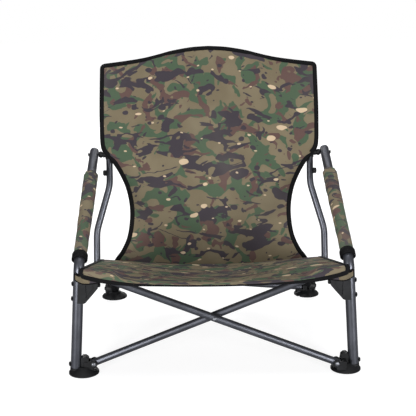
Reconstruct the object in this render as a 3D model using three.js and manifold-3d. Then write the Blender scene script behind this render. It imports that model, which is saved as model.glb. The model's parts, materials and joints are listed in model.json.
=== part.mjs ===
// Low carp fishing chair: a side-folding steel frame with a cloth sling seat.
// Millimetres, +Z up, +X to the sitter's left as seen from the front (right in a front view), +Y to the back.

import * as THREE from 'three';
import { mergeVertices } from 'three/addons/utils/BufferGeometryUtils.js';
import Module from 'manifold-3d';

const wasm = await Module();
wasm.setup();

// Driving dimensions

const GAP = 0.3;                  // clearance between neighbouring pieces
const Y_MID = 265;                  // middle of the chair, behind the front feet

const SIDE_TUBE_R = 12.5;         // 25 mm tube: front leg and arm in one
const SIDE_TUBE_WALL = 1.2;
const TUBE_R = 9;                 // 18 mm tube: braces, posts and rails
const TUBE_WALL = 1.0;

const FRONT_FOOT = { x: 310, y: 0 };
const REAR_FOOT = { x: 278, y: 530 };
const CUP_R = 36;

const LEG_BOTTOM = new THREE.Vector3(328.8, 0, 14);
const ARM_CORNER = new THREE.Vector3(311, 0, 270);
const ARM_REAR = new THREE.Vector3(316.4, 490.5, 433.6);
const ARM_BEND_R = 38;
const ARM_BOLT_INSET = 14;        // arm bolt, ahead of the arm tube's rear end
const SLEEVE_START = 27;          // along the arm, from the corner
const SLEEVE_LENGTH = 368;
const SLEEVE_R = 17.5;

const FRONT_BRACE = { bossX: 286, bossZ: 23.6, crossZ: 138.2, topX: 262, y: -8, planeOffset: 9.4 };
const REAR_BRACE = { bossX: 254.6, bossY: 524, bossZ: 33, topX: 214, topY: 362, topZ: 128, planeOffset: 9.4 };
const OPEN_PIVOT_PLAY = 1.2;      // extra clearance where the rear scissor's ring stays open
const BRACE_HEEL = 6;             // brace, past its foot rivet
const RIVET_R = 3;
const RIVET_HEAD_R = 5.5;

const RAIL_X = 280;
const RAIL_FRONT = new THREE.Vector3(RAIL_X, 6, 216);
const RAIL_KNEE = new THREE.Vector3(RAIL_X, 395, 140);
const RAIL_KNEE_R = 70;
const RAIL_REAR = new THREE.Vector3(REAR_FOOT.x, 530, 30);

const POST_LEAN = 0.333;          // back post: run per rise, leaning back
const POST_LOW_X = 309.5;
const POST_HIGH_X = 273.5;
const POST_TOP_X = 278;
const POST_FOOT_Z = 112;
const POST_BEND_LOW_Z = 230;
const POST_BEND_HIGH_Z = 349;
const POST_TOP_Z = 648;
const POST_BEND_R = 110;
const STUD_Z = 381;

const CLOTH = 4;                  // cloth, with its hems
const SEAT_FRONT_Y = -33;
const SEAT_REAR_Z = 143;
const SEAT_CORNER_Z = 265;
const SEAT_MIDDLE_Z = 227;
const WING_Z = 165;
const SCREW_Z = { foot: 22, gussetLow: 185, gussetHigh: 221 };
const PANEL_TOP_Z = 664;
const BACK_SLEEVE_R = 11.2;
const HEAD_GAP = 0.6;             // under the screw heads on round tubes

// Materials

const finish = (color, roughness, metalness) => new THREE.MeshStandardMaterial({ color, roughness, metalness });
const GUNMETAL = finish(0x4b4d55, 0.38, 0.75);
const BLACK_PLASTIC = finish(0x17181b, 0.55, 0.0);
const BOLT_BLACK = finish(0x131416, 0.35, 0.6);
const RIVET_STEEL = finish(0x8f9299, 0.3, 0.9);
const CAMO_CLOTH = finish(0x5f5a44, 0.9, 0.0);

// Geometry helpers

const vec = (x, y, z) => new THREE.Vector3(x, y, z);
const along = (a, b, t) => new THREE.Vector3().lerpVectors(a, b, t);

function signedVolume(position, index) {
  const a = new THREE.Vector3();
  const b = new THREE.Vector3();
  const c = new THREE.Vector3();
  let sum = 0;
  for (let i = 0; i < index.length; i += 3) {
    a.fromBufferAttribute(position, index[i]);
    b.fromBufferAttribute(position, index[i + 1]);
    c.fromBufferAttribute(position, index[i + 2]);
    sum += a.dot(b.cross(c));
  }
  return sum / 6;
}

// One closed body: vertices merged, slivers dropped, faces pointing out.
function body(geometry) {
  const bare = new THREE.BufferGeometry();
  bare.setAttribute('position', geometry.getAttribute('position').clone());
  if (geometry.index) bare.setIndex(geometry.index.clone());
  const merged = mergeVertices(bare, 1e-4);
  const source = merged.index.array;
  const index = [];
  for (let i = 0; i < source.length; i += 3) {
    const [a, b, c] = [source[i], source[i + 1], source[i + 2]];
    if (a !== b && b !== c && c !== a) index.push(a, b, c);
  }
  if (signedVolume(merged.getAttribute('position'), index) < 0) index.reverse();
  merged.setIndex(index);
  return merged;
}

function solid(geometry) {
  const closed = body(geometry);
  const mesh = new wasm.Mesh({
    numProp: 3,
    vertProperties: new Float32Array(closed.getAttribute('position').array),
    triVerts: new Uint32Array(closed.index.array),
  });
  return new wasm.Manifold(mesh);
}

function fromSolid(manifold) {
  const mesh = manifold.getMesh();
  const geometry = new THREE.BufferGeometry();
  geometry.setAttribute('position', new THREE.BufferAttribute(new Float32Array(mesh.vertProperties), 3));
  geometry.setIndex([...mesh.triVerts]);
  return geometry;
}

function join(...geometries) {
  return fromSolid(geometries.map(solid).reduce((sum, next) => sum.add(next)));
}

function cut(geometry, ...tools) {
  return fromSolid(tools.map(solid).reduce((rest, tool) => rest.subtract(tool), solid(geometry)));
}

function mirrored(geometry) {
  return body(geometry.clone().scale(-1, 1, 1));
}

// Moves a geometry built along +Y so that its origin is at start and +Y points to end.
function aim(geometry, start, end) {
  const direction = new THREE.Vector3().subVectors(end, start).normalize();
  const turn = new THREE.Quaternion().setFromUnitVectors(vec(0, 1, 0), direction);
  return geometry.applyQuaternion(turn).translate(start.x, start.y, start.z);
}

function rod(start, end, radius, sides = 12) {
  const length = start.distanceTo(end);
  return aim(new THREE.CylinderGeometry(radius, radius, length, sides).translate(0, length / 2, 0), start, end);
}

// A turned piece: profile pairs are [radius, height] from the axis back to the axis.
function turned(profile, start, end, sides = 12) {
  const points = profile.map(([radius, height]) => new THREE.Vector2(radius, height));
  return aim(new THREE.LatheGeometry(points, sides), start, end);
}

function block(x0, x1, y0, y1, z0, z1) {
  return new THREE.BoxGeometry(x1 - x0, y1 - y0, z1 - z0).translate((x0 + x1) / 2, (y0 + y1) / 2, (z0 + z1) / 2);
}

function circle(radius, sides) {
  const points = [];
  for (let i = 0; i < sides; i += 1) {
    const angle = (2 * Math.PI * i) / sides;
    points.push(new THREE.Vector2(radius * Math.cos(angle), radius * Math.sin(angle)));
  }
  return points;
}

// A path through given stations only, so that straight runs need no steps.
class StationPath extends THREE.Curve {
  constructor(stations) {
    super();
    this.stations = stations;
  }

  getPoint(t, target = new THREE.Vector3()) {
    const place = t * (this.stations.length - 1);
    const i = Math.min(Math.floor(place), this.stations.length - 2);
    return target.lerpVectors(this.stations[i], this.stations[i + 1], place - i);
  }

  getPointAt(u, target) {
    return this.getPoint(u, target);
  }

  getTangentAt(u, target = new THREE.Vector3()) {
    const last = this.stations.length - 1;
    const i = Math.round(u * last);
    const here = this.stations[i];
    const before = new THREE.Vector3().subVectors(here, this.stations[Math.max(i - 1, 0)]).normalize();
    const after = new THREE.Vector3().subVectors(this.stations[Math.min(i + 1, last)], here).normalize();
    return target.copy(before).add(after).normalize();
  }
}

// Rounds each inner corner of a route with an arc of the given radius.
function roundedRoute(corners, radius, steps) {
  const route = [corners[0]];
  for (let i = 1; i < corners.length - 1; i += 1) {
    const inward = new THREE.Vector3().subVectors(corners[i - 1], corners[i]).normalize();
    const outward = new THREE.Vector3().subVectors(corners[i + 1], corners[i]).normalize();
    const half = inward.angleTo(outward) / 2;
    const middle = new THREE.Vector3().addVectors(inward, outward).normalize();
    const centre = corners[i].clone().addScaledVector(middle, radius / Math.sin(half));
    const reach = radius / Math.tan(half);
    const first = corners[i].clone().addScaledVector(inward, reach).sub(centre);
    const last = corners[i].clone().addScaledVector(outward, reach).sub(centre);
    const sweep = first.angleTo(last);
    for (let k = 0; k <= steps; k += 1) {
      const t = k / steps;
      const a = Math.sin((1 - t) * sweep) / Math.sin(sweep);
      const b = Math.sin(t * sweep) / Math.sin(sweep);
      route.push(centre.clone().addScaledVector(first, a).addScaledVector(last, b));
    }
  }
  route.push(corners[corners.length - 1]);
  return route;
}

function sweep(route, radius, sides, wall = 0) {
  const shape = new THREE.Shape(circle(radius, sides));
  if (wall > 0) shape.holes.push(new THREE.Path(circle(radius - wall, sides).reverse()));
  const path = new StationPath(route);
  return new THREE.ExtrudeGeometry(shape, { steps: route.length - 1, extrudePath: path, bevelEnabled: false });
}

// A flat plate or block: an outline in X and Z, extruded along Y from y0 to y1.
function plate(outline, y0, y1) {
  const shape = new THREE.Shape(outline.map(([x, z]) => new THREE.Vector2(x, z)));
  const slab = new THREE.ExtrudeGeometry(shape, { depth: y1 - y0, bevelEnabled: false, steps: 1 });
  return slab.rotateX(Math.PI / 2).translate(0, y1, 0);
}

// A screw or bolt: domed head at start, shank running to end.
function screw(start, end, shankR = RIVET_R, headR = 6, headHeight = 4) {
  const length = start.distanceTo(end);
  const profile = [
    [0, -headHeight],
    [headR * 0.62, -headHeight * 0.86],
    [headR, -headHeight * 0.3],
    [headR, 0],
    [shankR, 0],
    [shankR, length],
    [0, length],
  ];
  return turned(profile, start, end, 12);
}

// A rivet: a domed head at each end.
function rivet(start, end, shankR = RIVET_R, headR = RIVET_HEAD_R) {
  const length = start.distanceTo(end);
  const dome = headR * 0.5;
  const profile = [
    [0, -dome],
    [headR * 0.7, -dome * 0.7],
    [headR, 0],
    [shankR, 0],
    [shankR, length],
    [headR, length],
    [headR * 0.7, length + dome * 0.7],
    [0, length + dome],
  ];
  return turned(profile, start, end, 12);
}

// A cloth sheet as a closed body: place(u, v) gives its face, drop the way to its other face.
function sheet(columns, rows, place, drop) {
  const geometry = new THREE.BoxGeometry(2, 1, 1, columns, rows, 1);
  const position = geometry.getAttribute('position');
  for (let i = 0; i < position.count; i += 1) {
    const face = place(position.getX(i), position.getY(i) + 0.5);
    const depth = 0.5 - position.getZ(i);
    face.addScaledVector(drop, depth);
    position.setXYZ(i, face.x, face.y, face.z);
  }
  return body(geometry);
}

// Places worked out from the driving dimensions

const armLength = ARM_CORNER.distanceTo(ARM_REAR);
const armAt = (distance) => along(ARM_CORNER, ARM_REAR, distance / armLength);
const legLength = LEG_BOTTOM.distanceTo(ARM_CORNER);
const legAt = (z) => along(LEG_BOTTOM, ARM_CORNER, (z - LEG_BOTTOM.z) / (ARM_CORNER.z - LEG_BOTTOM.z));
const ARM_PIVOT = armAt(armLength - ARM_BOLT_INSET);

const postY = (z) => ARM_PIVOT.y + (z - ARM_PIVOT.z) * POST_LEAN;
function postX(z) {
  if (z < POST_BEND_LOW_Z) return POST_LOW_X;
  if (z > POST_BEND_HIGH_Z) {
    return THREE.MathUtils.mapLinear(z, POST_BEND_HIGH_Z, POST_TOP_Z, POST_HIGH_X, POST_TOP_X);
  }
  return THREE.MathUtils.mapLinear(z, POST_BEND_LOW_Z, POST_BEND_HIGH_Z, POST_LOW_X, POST_HIGH_X);
}
const postAt = (z) => vec(postX(z), postY(z), z);

function railAt(y) {
  const [start, end] = y < RAIL_KNEE.y ? [RAIL_FRONT, RAIL_KNEE] : [RAIL_KNEE, RAIL_REAR];
  return along(start, end, (y - start.y) / (end.y - start.y));
}

const frontSlope = (FRONT_BRACE.crossZ - FRONT_BRACE.bossZ) / FRONT_BRACE.bossX;
const rearRun = Math.hypot(REAR_BRACE.topY - REAR_BRACE.bossY, REAR_BRACE.topZ - REAR_BRACE.bossZ);
const rearUp = vec(0, REAR_BRACE.topY - REAR_BRACE.bossY, REAR_BRACE.topZ - REAR_BRACE.bossZ).normalize();
const rearNormal = vec(0, rearUp.z, -rearUp.y);
const rearSlope = rearRun / (REAR_BRACE.bossX + REAR_BRACE.topX);

// Where the post crosses beside the rail
const postRailY = (() => {
  let y = RAIL_FRONT.y;
  for (let i = 0; i < 20; i += 1) y = postY(railAt(y).z);
  return y;
})();

// Side frame pieces, built for the right side

function sideTube() {
  const route = roundedRoute([LEG_BOTTOM, ARM_CORNER, ARM_REAR], ARM_BEND_R, 7);
  const bolts = [
    rod(legAt(SCREW_Z.foot), legAt(SCREW_Z.foot).add(vec(20, 0, 0)), RIVET_R + GAP),
    rod(legAt(SCREW_Z.gussetHigh).add(vec(-20, 0, 0)), legAt(SCREW_Z.gussetHigh).add(vec(20, 0, 0)), RIVET_R + GAP),
    rod(legAt(SCREW_Z.gussetLow).add(vec(-20, 0, 0)), legAt(SCREW_Z.gussetLow).add(vec(20, 0, 0)), RIVET_R + GAP),
    rod(ARM_PIVOT.clone().add(vec(-20, 0, 0)), ARM_PIVOT.clone().add(vec(20, 0, 0)), RIVET_R + GAP),
  ];
  return cut(sweep(route, SIDE_TUBE_R, 16, SIDE_TUBE_WALL), ...bolts);
}

function armEndCap() {
  const plugR = SIDE_TUBE_R - SIDE_TUBE_WALL - GAP;
  const profile = [[0, -10], [plugR - 1, -10], [plugR, -8], [plugR, GAP], [SIDE_TUBE_R, GAP], [SIDE_TUBE_R, 2]];
  for (let k = 1; k <= 4; k += 1) {
    const angle = (Math.PI / 2) * (k / 4);
    profile.push([Math.max(SIDE_TUBE_R * Math.cos(angle), 0), 2 + 10.5 * Math.sin(angle)]);
  }
  profile[profile.length - 1][0] = 0;
  return turned(profile, ARM_REAR, armAt(armLength + 10), 16);
}

function armSleeve() {
  const start = armAt(SLEEVE_START);
  const end = armAt(SLEEVE_START + SLEEVE_LENGTH);
  const inner = SIDE_TUBE_R + GAP;
  const profile = [
    [inner, 0],
    [SLEEVE_R - 1.8, 0],
    [SLEEVE_R, 4],
    [SLEEVE_R, SLEEVE_LENGTH - 5],
    [SLEEVE_R - 2.4, SLEEVE_LENGTH],
    [inner, SLEEVE_LENGTH],
    [inner, 0],
  ];
  return turned(profile, start, end, 20);
}

function backPost() {
  const corners = [postAt(POST_FOOT_Z), postAt(POST_BEND_LOW_Z), postAt(POST_BEND_HIGH_Z), postAt(POST_TOP_Z)];
  const pivot = postAt(ARM_PIVOT.z);
  const low = postAt(railAt(postRailY).z);
  const stud = postAt(STUD_Z);
  const holes = [
    rod(pivot.clone().add(vec(-14, 0, 0)), pivot.clone().add(vec(14, 0, 0)), RIVET_R + GAP),
    rod(low.clone().add(vec(-14, 0, 0)), low.clone().add(vec(14, 0, 0)), RIVET_R + GAP),
    rod(stud.clone(), stud.clone().add(vec(14, 0, 0)), RIVET_R),
  ];
  return cut(sweep(roundedRoute(corners, POST_BEND_R, 3), TUBE_R, 12, TUBE_WALL), ...holes);
}

function postCollar() {
  const middle = postAt(ARM_PIVOT.z);
  const low = postAt(ARM_PIVOT.z - 13);
  const high = postAt(ARM_PIVOT.z + 13);
  const lug = rod(middle.clone().add(vec(8, 0, 0)), vec(292, middle.y, middle.z), 8.5, 12);
  const ring = rod(low, high, TUBE_R + 1.5, 16);
  const bore = rod(postAt(ARM_PIVOT.z - 30), postAt(ARM_PIVOT.z + 30), TUBE_R + GAP, 12);
  const hole = rod(vec(middle.x - 20, middle.y, middle.z), vec(300, middle.y, middle.z), RIVET_R + GAP);
  return cut(join(ring, lug), bore, hole);
}

function armSpacer() {
  const start = vec(292 + GAP, ARM_PIVOT.y, ARM_PIVOT.z);
  const end = vec(ARM_PIVOT.x - SIDE_TUBE_R - GAP, ARM_PIVOT.y, ARM_PIVOT.z);
  const length = start.distanceTo(end);
  const bore = RIVET_R + GAP;
  const profile = [[bore, 0], [6.5, 0], [9, length * 0.3], [9, length * 0.65], [6.5, length], [bore, length], [bore, 0]];
  return turned(profile, start, end, 12);
}

function armPivotBolt() {
  const head = vec(ARM_PIVOT.x + SIDE_TUBE_R + HEAD_GAP, ARM_PIVOT.y, ARM_PIVOT.z);
  const tail = vec(POST_HIGH_X - TUBE_R - 3, ARM_PIVOT.y, ARM_PIVOT.z);
  return screw(head, tail, RIVET_R, 5.5, 3.5);
}

function postStud() {
  const post = postAt(STUD_Z);
  const foot = vec(post.x + TUBE_R + GAP, post.y, post.z);
  const length = 9;
  const profile = [
    [0, -4],
    [RIVET_R - GAP, -4],
    [RIVET_R - GAP, 0],
    [4, 0],
    [4, 3],
    [6.2, 4],
    [6.6, 6.5],
    [4.6, length - 0.8],
    [0, length],
  ];
  return turned(profile, foot, foot.clone().add(vec(1, 0, 0)), 12);
}

function postFootPlug() {
  const foot = postAt(POST_FOOT_Z);
  const below = postAt(POST_FOOT_Z - 10);
  const plugR = TUBE_R - TUBE_WALL - GAP;
  const profile = [[0, -3.5], [plugR, -3.5], [plugR, GAP], [TUBE_R, GAP], [TUBE_R, 2.5], [TUBE_R - 2.5, 5], [0, 5.6]];
  return turned(profile, foot, below, 12);
}

const GUSSET = { topZ: 232, innerX: 269, lipZ: 212, tipZ: 176, halfY: 13 };

function gusset() {
  const outline = [
    [legAt(GUSSET.topZ).x, GUSSET.topZ],
    [GUSSET.innerX + 4, GUSSET.topZ],
    [GUSSET.innerX, GUSSET.topZ - 4],
    [GUSSET.innerX, GUSSET.lipZ],
    [legAt(GUSSET.tipZ).x - SIDE_TUBE_R - 7, GUSSET.tipZ + 2],
    [legAt(GUSSET.tipZ).x - SIDE_TUBE_R - 3, GUSSET.tipZ],
    [legAt(GUSSET.tipZ).x, GUSSET.tipZ],
  ];
  const plateBody = plate(outline, -GUSSET.halfY, GUSSET.halfY);
  const leg = rod(legAt(100), legAt(265), SIDE_TUBE_R + GAP, 16);
  const outside = block(legAt(GUSSET.tipZ).x, 360, -40, 40, 140, 250);
  const railNose = rod(railAt(-20), railAt(80), TUBE_R + GAP, 12);
  const nose = block(RAIL_X - TUBE_R - GAP, RAIL_X + TUBE_R + GAP, RAIL_FRONT.y - 6, 40, 185, 226);
  const pocketFront = plate([[279, 224], [297, 224], [297, 188], [279, 211]], -GUSSET.halfY - 1, -GUSSET.halfY + 2);
  const pin = rod(vec(250, railPin.y, railPin.z), vec(300, railPin.y, railPin.z), RIVET_R + GAP);
  const bolts = [SCREW_Z.gussetHigh, SCREW_Z.gussetLow].map((z) => rod(legAt(z).add(vec(-28, 0, 0)), legAt(z), RIVET_R + GAP));
  return cut(plateBody, leg, outside, nose, pocketFront, pin, ...bolts);
}

const railPin = railAt(RAIL_FRONT.y + 9);

function gussetBolt(z) {
  const head = legAt(z).add(vec(SIDE_TUBE_R + HEAD_GAP, 0, 0));
  return screw(head, legAt(z).add(vec(-22, 0, 0)), RIVET_R, 6, 3.4);
}

function sideRail() {
  const post = railAt(postRailY);
  const holes = [
    rod(railPin.clone().add(vec(-14, 0, 0)), railPin.clone().add(vec(14, 0, 0)), RIVET_R + GAP),
    rod(post.clone().add(vec(-14, 0, 0)), post.clone().add(vec(14, 0, 0)), RIVET_R + GAP),
    rod(railAt(516).add(vec(0, 0, 0)), railAt(516).add(vec(14, 0, 0)), RIVET_R + GAP),
  ];
  const route = roundedRoute([RAIL_FRONT, RAIL_KNEE, railAt(524)], RAIL_KNEE_R, 4);
  return cut(sweep(route, TUBE_R, 12, TUBE_WALL), ...holes);
}

function railFrontPin() {
  const innerEnd = vec(GUSSET.innerX - GAP, railPin.y, railPin.z);
  const outerEnd = vec(RAIL_X + TUBE_R + 8, railPin.y, railPin.z);
  return screw(innerEnd, outerEnd, RIVET_R, 5, 2);
}

function railPostBolt() {
  const rail = railAt(postRailY);
  const start = vec(POST_LOW_X + TUBE_R + GAP, rail.y, rail.z);
  const end = vec(RAIL_X - TUBE_R - 5, rail.y, rail.z);
  const bolt = screw(start, end, RIVET_R, 6, 4);
  const spacerStart = vec(RAIL_X + TUBE_R + GAP, rail.y, rail.z);
  const spacerEnd = vec(POST_LOW_X - TUBE_R - GAP, rail.y, rail.z);
  return join(bolt, rod(spacerStart, spacerEnd, 6.5, 12));
}

// Feet: a wide cup, a hump, and a two-cheeked boss for the brace

const cupProfile = [[0, 0], [CUP_R, 0], [CUP_R, 2.5], [CUP_R - 2, 5], [20, 12], [16, 17], [0, 18]];

function brace(boss, normal, offset, radius, reach) {
  const centre = boss.clone().addScaledVector(normal, offset);
  return rod(
    centre.clone().addScaledVector(normal, -reach),
    centre.clone().addScaledVector(normal, reach),
    radius,
    16,
  );
}

function frontFoot(side) {
  const offset = FRONT_BRACE.y - side * FRONT_BRACE.planeOffset;
  const x = FRONT_FOOT.x;
  const cup = turned(cupProfile, vec(x, 0, 0), vec(x, 0, 1), 24);
  const hump = plate([[x + 5.6, 6], [x + 5.6, 38], [x + 1, 42], [x - 6, 42], [x - 12, 37], [x - 16, 6]], -9, 9);
  const boss = vec(FRONT_BRACE.bossX, 0, FRONT_BRACE.bossZ);
  const normal = vec(0, 1, 0);
  const eye = brace(boss, normal, offset, 9, TUBE_R + 4.2);
  const web = block(boss.x, x - 2, offset - TUBE_R - 4.2, offset + TUBE_R + 4.2, 8, boss.z + 6);
  const shoulder = rod(legAt(4), legAt(LEG_BOTTOM.z - GAP), SIDE_TUBE_R + 1.2, 16);
  const peg = rod(legAt(8), legAt(44), SIDE_TUBE_R - SIDE_TUBE_WALL - GAP, 12);
  const slot = block(boss.x - 30, boss.x + 11.5, offset - TUBE_R - GAP, offset + TUBE_R + GAP, boss.z - 11.5, 80);
  const hole = brace(boss, normal, offset, RIVET_R + GAP, 30);
  const footScrew = legAt(SCREW_Z.foot);
  const screwHole = rod(footScrew.clone().add(vec(-9, 0, 0)), footScrew.clone().add(vec(20, 0, 0)), RIVET_R + GAP);
  const tube = cut(
    rod(legAt(LEG_BOTTOM.z - GAP), legAt(60), SIDE_TUBE_R + GAP, 16),
    rod(legAt(2), legAt(70), SIDE_TUBE_R - SIDE_TUBE_WALL - GAP, 12),
  );
  return cut(join(cup, hump, eye, web, shoulder, peg), slot, hole, screwHole, tube);
}

function frontFootScrew() {
  const seat = legAt(SCREW_Z.foot);
  return screw(seat.clone().add(vec(SIDE_TUBE_R + HEAD_GAP, 0, 0)), seat.clone().add(vec(-8, 0, 0)), RIVET_R, 6, 4);
}

function rearBoss() {
  return vec(REAR_BRACE.bossX, REAR_BRACE.bossY, REAR_BRACE.bossZ);
}

function rearFoot(side) {
  const offset = -side * REAR_BRACE.planeOffset;
  const { x, y } = REAR_FOOT;
  const cup = turned(cupProfile, vec(x, y, 0), vec(x, y, 1), 24);
  const socket = rod(railAt(494), railAt(540), TUBE_R + 4.5, 16);
  const cheek = plate([[x + 6, 6], [x + 15, 6], [x + 15, 40], [x + 6, 44]], y - 14, y + 14);
  const boss = rearBoss();
  const eye = brace(boss, rearNormal, offset, 11, TUBE_R + 4.2);
  const middle = boss.clone().addScaledVector(rearNormal, offset);
  const lean = new THREE.Quaternion().setFromUnitVectors(vec(0, 1, 0), rearNormal);
  const set = (shape) => shape.applyQuaternion(lean).translate(middle.x, middle.y, middle.z);
  const cheekReach = TUBE_R + 4.2;
  const web = set(block(0, x - boss.x, -cheekReach, cheekReach, -11, 9));
  const bore = rod(railAt(480), railAt(524.5), TUBE_R + GAP, 12);
  const slot = set(block(-40, 13, -TUBE_R - GAP, TUBE_R + GAP, -11.5, 68));
  const hole = brace(boss, rearNormal, offset, RIVET_R + GAP, 40);
  const seat = railAt(516);
  const screwHole = rod(seat, seat.clone().add(vec(30, 0, 0)), RIVET_R + GAP);
  const under = block(x - 60, x + 60, y - 60, y + 60, -30, 0);
  return cut(join(cup, socket, cheek, eye, web), slot, hole, bore, screwHole, under);
}

function rearFootScrew() {
  const seat = railAt(516);
  return screw(vec(REAR_FOOT.x + 15 + GAP, seat.y, seat.z), vec(seat.x + 3, seat.y, seat.z), RIVET_R, 6, 4);
}

// Crossed braces

function frontBraceTube(side) {
  const y = FRONT_BRACE.y + side * FRONT_BRACE.planeOffset;
  const bossX = -side * FRONT_BRACE.bossX;
  const topX = side * FRONT_BRACE.topX;
  const at = (x) => vec(x, y, FRONT_BRACE.crossZ + side * frontSlope * x);
  const start = at(bossX - side * BRACE_HEEL);
  const end = at(topX);
  const holes = [at(bossX), at(0)].map((p) => rod(p.clone().setY(y - 20), p.clone().setY(y + 20), RIVET_R + GAP));
  return { geometry: cut(sweep([start, end], TUBE_R, 12, TUBE_WALL), ...holes), end, start };
}

function rearBraceTube(side) {
  const origin = vec(0, REAR_BRACE.bossY, REAR_BRACE.bossZ).addScaledVector(rearNormal, side * REAR_BRACE.planeOffset);
  const crossUp = REAR_BRACE.bossX * rearSlope;
  const at = (x) => origin.clone().add(vec(x, 0, 0)).addScaledVector(rearUp, crossUp + side * rearSlope * x);
  const start = at(-side * (REAR_BRACE.bossX + BRACE_HEEL));
  const end = at(side * REAR_BRACE.topX);
  const play = side < 0 ? OPEN_PIVOT_PLAY : 0;
  const hole = (p, radius) =>
    rod(p.clone().addScaledVector(rearNormal, -20), p.clone().addScaledVector(rearNormal, 20), radius);
  const holes = [hole(at(-side * REAR_BRACE.bossX), RIVET_R + GAP + play), hole(at(0), RIVET_R + GAP)];
  return { geometry: cut(sweep([start, end], TUBE_R, 12, TUBE_WALL), ...holes), end, start };
}

function braceCap(brace) {
  const direction = new THREE.Vector3().subVectors(brace.end, brace.start).normalize();
  const plugR = TUBE_R - TUBE_WALL - GAP;
  const profile = [[0, -8], [plugR, -8], [plugR, GAP], [TUBE_R, GAP], [TUBE_R, 2], [TUBE_R - 2, 4.5], [0, 5.5]];
  return turned(profile, brace.end, brace.end.clone().add(direction), 12);
}

// Cloth

const seatRearZ = (x) => SEAT_REAR_Z + 9 * (x / 256) ** 2;
const backReach = (z) => 2 + 14.7 * THREE.MathUtils.smoothstep(z, 150, 330);
const backY = (z) => postY(z) - backReach(z);
const seatRearY = (x) => backY(seatRearZ(x) - CLOTH) - 0.6;
const hemZ = (x) => 226.5 + 20 * (x / 305) ** 2;

function seatHalfWidth(y) {
  const { smoothstep, mapLinear } = THREE.MathUtils;
  const flap = 9 * (1 - smoothstep(y, -26, -15.5));
  const side = mapLinear(y, 0, REAR_BRACE.topY, 297.5, 286);
  return y < REAR_BRACE.topY ? side + flap : mapLinear(y, REAR_BRACE.topY, seatRearY(256), 286, 257);
}

function seatFace(u, v) {
  // The first four of fourteen rows take the front edge, which rolls down over the braces' tips.
  const rows = [SEAT_FRONT_Y, -28.5, -23, -15.5];
  const row = v * 14;
  const back = seatRearY(257);
  const y = row < 3
    ? THREE.MathUtils.lerp(rows[Math.floor(row)], rows[Math.floor(row) + 1], row % 1)
    : THREE.MathUtils.mapLinear(row, 3, 14, rows[3], back);
  const x = u * seatHalfWidth(y);
  const t = (y - rows[3]) / (back - rows[3]);
  const middle = THREE.MathUtils.lerp(SEAT_MIDDLE_Z, SEAT_REAR_Z, t) - 10 * Math.sin(Math.PI * Math.max(t, 0));
  const edge = y < REAR_BRACE.topY
    ? THREE.MathUtils.mapLinear(y, 0, REAR_BRACE.topY, SEAT_CORNER_Z, WING_Z)
    : THREE.MathUtils.mapLinear(y, REAR_BRACE.topY, back, WING_Z, seatRearZ(257));
  const top = middle + (edge - middle) * (1.35 * u ** 2 - 0.35 * u ** 4);
  const roll = [0, 0.45, 0.8, 1][Math.min(Math.round(row), 3)];
  const end = THREE.MathUtils.smoothstep(t, 0.93, 1);
  const z = THREE.MathUtils.lerp(THREE.MathUtils.lerp(hemZ(x), top, roll), seatRearZ(x), end);
  return vec(x, THREE.MathUtils.lerp(y, seatRearY(x), end), z);
}

function seatSling() {
  return sheet(24, 14, seatFace, vec(0, 0, -CLOTH));
}

const backEdge = [
  [139, 257], [156, 256], [172, 242], [210, 226], [260, 218], [300, 219], [340, 228], [373, 243], [400, 260],
  [420, 277], [436, 291], [452, 296], [500, 298], [570, 298], [668, 296],
];

function backHalfWidth(z) {
  for (let i = 1; i < backEdge.length; i += 1) {
    const [z0, w0] = backEdge[i - 1];
    const [z1, w1] = backEdge[i];
    if (z <= z1) return THREE.MathUtils.lerp(w0, w1, Math.max(z - z0, 0) / (z1 - z0));
  }
  return backEdge[backEdge.length - 1][1];
}

function backFace(u, v) {
  const rise = THREE.MathUtils.lerp(SEAT_REAR_Z - CLOTH, PANEL_TOP_Z, v);
  const x = u * backHalfWidth(rise);
  const foot = (seatRearZ(x) - SEAT_REAR_Z) * (1 - v);
  const crown = 46 * (1 - Math.abs(u) ** 1.8) * v ** 3;
  const z = rise + crown + foot;
  const sag = 15 * (1 - u * u) ** 1.5 * Math.sin(Math.PI * v) ** 0.8;
  return vec(x, backY(z) + sag, z);
}

function backSling() {
  return sheet(20, 28, backFace, vec(0, CLOTH, 0));
}

function backSleeve() {
  const low = postAt(ARM_PIVOT.z + 17);
  const high = postAt(POST_TOP_Z + 16);
  const length = low.distanceTo(high);
  const bore = TUBE_R + GAP;
  const depth = low.distanceTo(postAt(POST_TOP_Z)) + 2;
  const profile = [
    [bore, 0],
    [BACK_SLEEVE_R - 1, 0],
    [BACK_SLEEVE_R, 3],
    [BACK_SLEEVE_R, length - 5],
    [BACK_SLEEVE_R - 3.5, length],
    [0, length],
    [0, depth],
    [bore, depth],
    [bore, 0],
  ];
  return turned(profile, low, high, 16);
}

// The pocket under the front hem that holds the brace's tip and wraps the front of the leg
function seatCorner() {
  const line = new THREE.CatmullRomCurve3([
    vec(266, -29.5, 0), vec(282, -30.5, 0), vec(297, -29.5, 0), vec(307, -25, 0), vec(313, -19, 0),
  ]);
  const face = (u, v) => {
    const p = line.getPoint((u + 1) / 2);
    return vec(p.x, p.y, THREE.MathUtils.lerp(228, hemZ(p.x) - CLOTH - 1, v));
  };
  return sheet(8, 2, face, vec(-1.6, 3, 0));
}

// Assembly

const chair = new THREE.Group();
chair.position.y = -Y_MID;

function piece(name, geometry, material) {
  const mesh = new THREE.Mesh(body(geometry), material);
  mesh.name = name;
  chair.add(mesh);
}

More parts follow.
